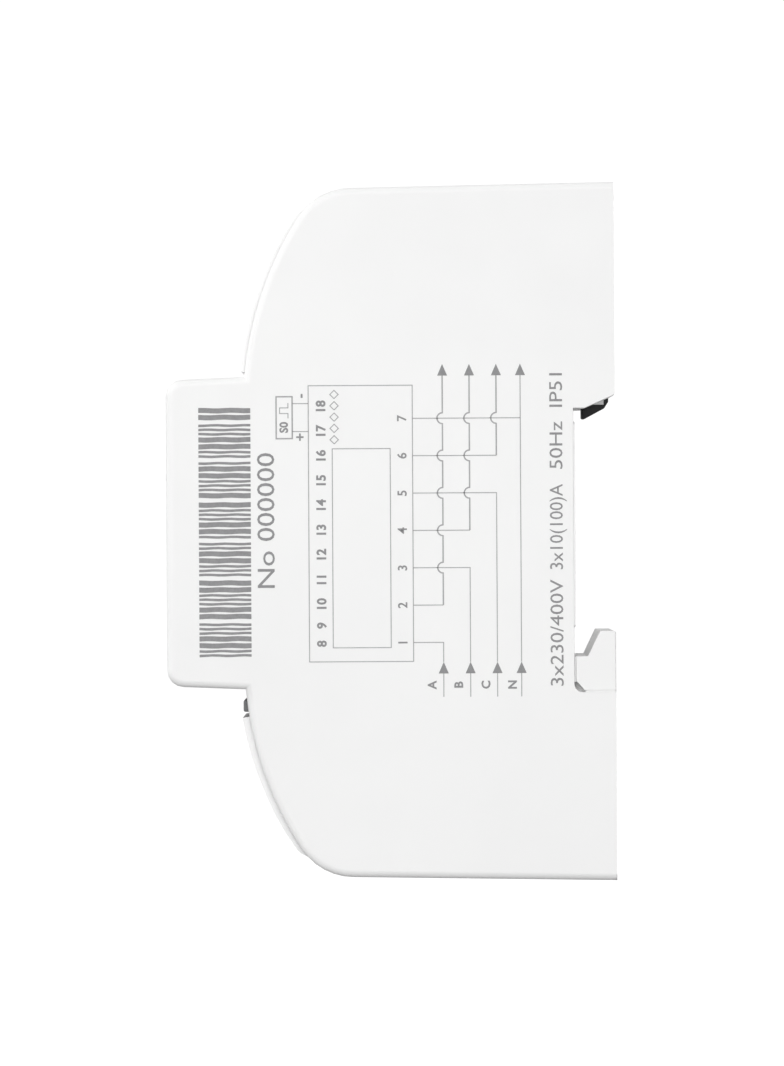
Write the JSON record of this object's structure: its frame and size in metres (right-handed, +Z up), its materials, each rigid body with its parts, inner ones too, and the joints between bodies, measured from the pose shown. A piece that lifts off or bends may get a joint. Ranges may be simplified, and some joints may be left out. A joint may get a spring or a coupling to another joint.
{
  "type": "rail-mounted electricity meter",
  "caption": "Three-phase electricity meter for a 35 mm rail, with a display, hinged terminal covers, screw terminals, current transformers and a sprung rail latch.",
  "frame": {"origin": "middle of the rail seat, the flat land that bears on the rail's front face, on the rail's centre line", "axes": "+X across the meter to its printed side wall, +Y from the front to the rail, +Z up to the latch end"},
  "size_m": [0.122, 0.0643, 0.1],
  "materials": {
    "case_plastic": "fine satin moulded surface",
    "latch_plastic": "satin black",
    "block_plastic": "dark grey, satin",
    "window_plastic": "clear, polished",
    "label_film": "printed film",
    "lens_plastic": "clear red",
    "circuit_board": "solder mask",
    "lcd_glass": "liquid crystal panel",
    "diffuser": "milky",
    "component_black": "moulded epoxy",
    "capacitor_case": "potted film capacitor",
    "transformer_core": "laminated core with tape",
    "copper": "bare copper",
    "plated_steel": "zinc plated"
  },
  "bodies": {
    "meter": {"housing": "case_plastic", "rear_base": "case_plastic", "latch_spring": "plated_steel", "main_terminal_block": "block_plastic", "aux_terminal_block": "block_plastic", "display_window": "window_plastic", "led_light_pipe": "lens_plastic", "front_label": "label_film", "display_board": "circuit_board", "lcd_backlight": "diffuser", "lcd_panel": "lcd_glass", "measuring_board": "circuit_board", "riser_board": "circuit_board", "supply_capacitor": "capacitor_case", "supply_transformer": "transformer_core", "measuring_chip": "component_black", "pulse_coupler": "component_black", "phase_bar_a": "copper", "current_transformer_a": "transformer_core", "phase_bar_b": "copper", "current_transformer_b": "transformer_core", "phase_bar_c": "copper", "current_transformer_c": "transformer_core", "neutral_bar": "copper", "case_screw_lower_left": "plated_steel", "case_screw_lower_right": "plated_steel", "case_screw_upper_left": "plated_steel", "case_screw_upper_right": "plated_steel"},
    "latch": {"din_latch": "latch_plastic"},
    "upper_cover": {"upper_terminal_cover": "case_plastic"},
    "upper_seal_screw_left": {"upper_seal_screw_left": "plated_steel"},
    "upper_seal_screw_right": {"upper_seal_screw_right": "plated_steel"},
    "lower_cover": {"lower_terminal_cover": "case_plastic"},
    "lower_seal_screw_left": {"lower_seal_screw_left": "plated_steel"},
    "lower_seal_screw_right": {"lower_seal_screw_right": "plated_steel"},
    "main_screw_1": {"main_screw_1": "plated_steel"},
    "main_cage_1": {"main_cage_1": "plated_steel"},
    "main_screw_2": {"main_screw_2": "plated_steel"},
    "main_cage_2": {"main_cage_2": "plated_steel"},
    "main_screw_3": {"main_screw_3": "plated_steel"},
    "main_cage_3": {"main_cage_3": "plated_steel"},
    "main_screw_4": {"main_screw_4": "plated_steel"},
    "main_cage_4": {"main_cage_4": "plated_steel"},
    "main_screw_5": {"main_screw_5": "plated_steel"},
    "main_cage_5": {"main_cage_5": "plated_steel"},
    "main_screw_6": {"main_screw_6": "plated_steel"},
    "main_cage_6": {"main_cage_6": "plated_steel"},
    "main_screw_7": {"main_screw_7": "plated_steel"},
    "main_cage_7": {"main_cage_7": "plated_steel"},
    "aux_screw_8": {"aux_screw_8": "plated_steel"},
    "aux_screw_9": {"aux_screw_9": "plated_steel"},
    "aux_screw_10": {"aux_screw_10": "plated_steel"},
    "aux_screw_11": {"aux_screw_11": "plated_steel"},
    "aux_screw_12": {"aux_screw_12": "plated_steel"},
    "aux_screw_13": {"aux_screw_13": "plated_steel"},
    "aux_screw_14": {"aux_screw_14": "plated_steel"},
    "aux_screw_15": {"aux_screw_15": "plated_steel"},
    "aux_screw_16": {"aux_screw_16": "plated_steel"},
    "aux_screw_17": {"aux_screw_17": "plated_steel"},
    "aux_screw_18": {"aux_screw_18": "plated_steel"}
  },
  "joints": [
    {"name": "latch_slide", "type": "slide", "parent": "meter", "child": "latch", "axis": [0, 0, 1], "range_m": [0, 0.003], "stiffness_N_per_m": 400, "springref_m": -0.003, "deforming": ["latch_spring"]},
    {"name": "upper_cover_hinge", "type": "hinge", "parent": "meter", "child": "upper_cover", "pos_m": [0, -0.0379, 0.0448], "axis": [-1, 0, 0], "range_deg": [0, 100]},
    {"name": "upper_seal_screw_left_turn", "type": "hinge", "parent": "upper_cover", "child": "upper_seal_screw_left", "pos_m": [-0.05, -0.0442, 0.031], "axis": [0, 1, 0], "range_deg": [-1440, 0]},
    {"name": "upper_seal_screw_right_turn", "type": "hinge", "parent": "upper_cover", "child": "upper_seal_screw_right", "pos_m": [0.05, -0.0442, 0.031], "axis": [0, 1, 0], "range_deg": [-1440, 0]},
    {"name": "lower_cover_hinge", "type": "hinge", "parent": "meter", "child": "lower_cover", "pos_m": [0, -0.0379, -0.0448], "axis": [1, 0, 0], "range_deg": [0, 100]},
    {"name": "lower_seal_screw_left_turn", "type": "hinge", "parent": "lower_cover", "child": "lower_seal_screw_left", "pos_m": [-0.05, -0.0442, -0.031], "axis": [0, 1, 0], "range_deg": [-1440, 0]},
    {"name": "lower_seal_screw_right_turn", "type": "hinge", "parent": "lower_cover", "child": "lower_seal_screw_right", "pos_m": [0.05, -0.0442, -0.031], "axis": [0, 1, 0], "range_deg": [-1440, 0]},
    {"name": "main_screw_1_turn", "type": "hinge", "parent": "meter", "child": "main_screw_1", "pos_m": [-0.0522, -0.0335, -0.038], "axis": [0, 1, 0], "range_deg": [0, 2160]},
    {"name": "main_cage_1_lift", "type": "slide", "parent": "meter", "child": "main_cage_1", "axis": [0, -1, 0], "range_m": [0, 0.006]},
    {"name": "main_screw_2_turn", "type": "hinge", "parent": "meter", "child": "main_screw_2", "pos_m": [-0.0357, -0.0335, -0.038], "axis": [0, 1, 0], "range_deg": [0, 2160]},
    {"name": "main_cage_2_lift", "type": "slide", "parent": "meter", "child": "main_cage_2", "axis": [0, -1, 0], "range_m": [0, 0.006]},
    {"name": "main_screw_3_turn", "type": "hinge", "parent": "meter", "child": "main_screw_3", "pos_m": [-0.0192, -0.0335, -0.038], "axis": [0, 1, 0], "range_deg": [0, 2160]},
    {"name": "main_cage_3_lift", "type": "slide", "parent": "meter", "child": "main_cage_3", "axis": [0, -1, 0], "range_m": [0, 0.006]},
    {"name": "main_screw_4_turn", "type": "hinge", "parent": "meter", "child": "main_screw_4", "pos_m": [-0.0027, -0.0335, -0.038], "axis": [0, 1, 0], "range_deg": [0, 2160]},
    {"name": "main_cage_4_lift", "type": "slide", "parent": "meter", "child": "main_cage_4", "axis": [0, -1, 0], "range_m": [0, 0.006]},
    {"name": "main_screw_5_turn", "type": "hinge", "parent": "meter", "child": "main_screw_5", "pos_m": [0.0138, -0.0335, -0.038], "axis": [0, 1, 0], "range_deg": [0, 2160]},
    {"name": "main_cage_5_lift", "type": "slide", "parent": "meter", "child": "main_cage_5", "axis": [0, -1, 0], "range_m": [0, 0.006]},
    {"name": "main_screw_6_turn", "type": "hinge", "parent": "meter", "child": "main_screw_6", "pos_m": [0.0303, -0.0335, -0.038], "axis": [0, 1, 0], "range_deg": [0, 2160]},
    {"name": "main_cage_6_lift", "type": "slide", "parent": "meter", "child": "main_cage_6", "axis": [0, -1, 0], "range_m": [0, 0.006]},
    {"name": "main_screw_7_turn", "type": "hinge", "parent": "meter", "child": "main_screw_7", "pos_m": [0.0468, -0.0335, -0.038], "axis": [0, 1, 0], "range_deg": [0, 2160]},
    {"name": "main_cage_7_lift", "type": "slide", "parent": "meter", "child": "main_cage_7", "axis": [0, -1, 0], "range_m": [0, 0.006]},
    {"name": "aux_screw_8_turn", "type": "hinge", "parent": "meter", "child": "aux_screw_8", "pos_m": [-0.053, -0.0332, 0.04], "axis": [0, 1, 0], "range_deg": [0, 1080]},
    {"name": "aux_screw_9_turn", "type": "hinge", "parent": "meter", "child": "aux_screw_9", "pos_m": [-0.0425, -0.0332, 0.04], "axis": [0, 1, 0], "range_deg": [0, 1080]},
    {"name": "aux_screw_10_turn", "type": "hinge", "parent": "meter", "child": "aux_screw_10", "pos_m": [-0.032, -0.0332, 0.04], "axis": [0, 1, 0], "range_deg": [0, 1080]},
    {"name": "aux_screw_11_turn", "type": "hinge", "parent": "meter", "child": "aux_screw_11", "pos_m": [-0.0215, -0.0332, 0.04], "axis": [0, 1, 0], "range_deg": [0, 1080]},
    {"name": "aux_screw_12_turn", "type": "hinge", "parent": "meter", "child": "aux_screw_12", "pos_m": [-0.011, -0.0332, 0.04], "axis": [0, 1, 0], "range_deg": [0, 1080]},
    {"name": "aux_screw_13_turn", "type": "hinge", "parent": "meter", "child": "aux_screw_13", "pos_m": [-0.0005, -0.0332, 0.04], "axis": [0, 1, 0], "range_deg": [0, 1080]},
    {"name": "aux_screw_14_turn", "type": "hinge", "parent": "meter", "child": "aux_screw_14", "pos_m": [0.01, -0.0332, 0.04], "axis": [0, 1, 0], "range_deg": [0, 1080]},
    {"name": "aux_screw_15_turn", "type": "hinge", "parent": "meter", "child": "aux_screw_15", "pos_m": [0.0205, -0.0332, 0.04], "axis": [0, 1, 0], "range_deg": [0, 1080]},
    {"name": "aux_screw_16_turn", "type": "hinge", "parent": "meter", "child": "aux_screw_16", "pos_m": [0.031, -0.0332, 0.04], "axis": [0, 1, 0], "range_deg": [0, 1080]},
    {"name": "aux_screw_17_turn", "type": "hinge", "parent": "meter", "child": "aux_screw_17", "pos_m": [0.0415, -0.0332, 0.04], "axis": [0, 1, 0], "range_deg": [0, 1080]},
    {"name": "aux_screw_18_turn", "type": "hinge", "parent": "meter", "child": "aux_screw_18", "pos_m": [0.052, -0.0332, 0.04], "axis": [0, 1, 0], "range_deg": [0, 1080]}
  ],
  "couplings": [
    {"joint": "main_screw_1_turn", "follows": "main_cage_1_lift", "rad_per_m": 6283.2},
    {"joint": "main_screw_2_turn", "follows": "main_cage_2_lift", "rad_per_m": 6283.2},
    {"joint": "main_screw_3_turn", "follows": "main_cage_3_lift", "rad_per_m": 6283.2},
    {"joint": "main_screw_4_turn", "follows": "main_cage_4_lift", "rad_per_m": 6283.2},
    {"joint": "main_screw_5_turn", "follows": "main_cage_5_lift", "rad_per_m": 6283.2},
    {"joint": "main_screw_6_turn", "follows": "main_cage_6_lift", "rad_per_m": 6283.2},
    {"joint": "main_screw_7_turn", "follows": "main_cage_7_lift", "rad_per_m": 6283.2}
  ]
}
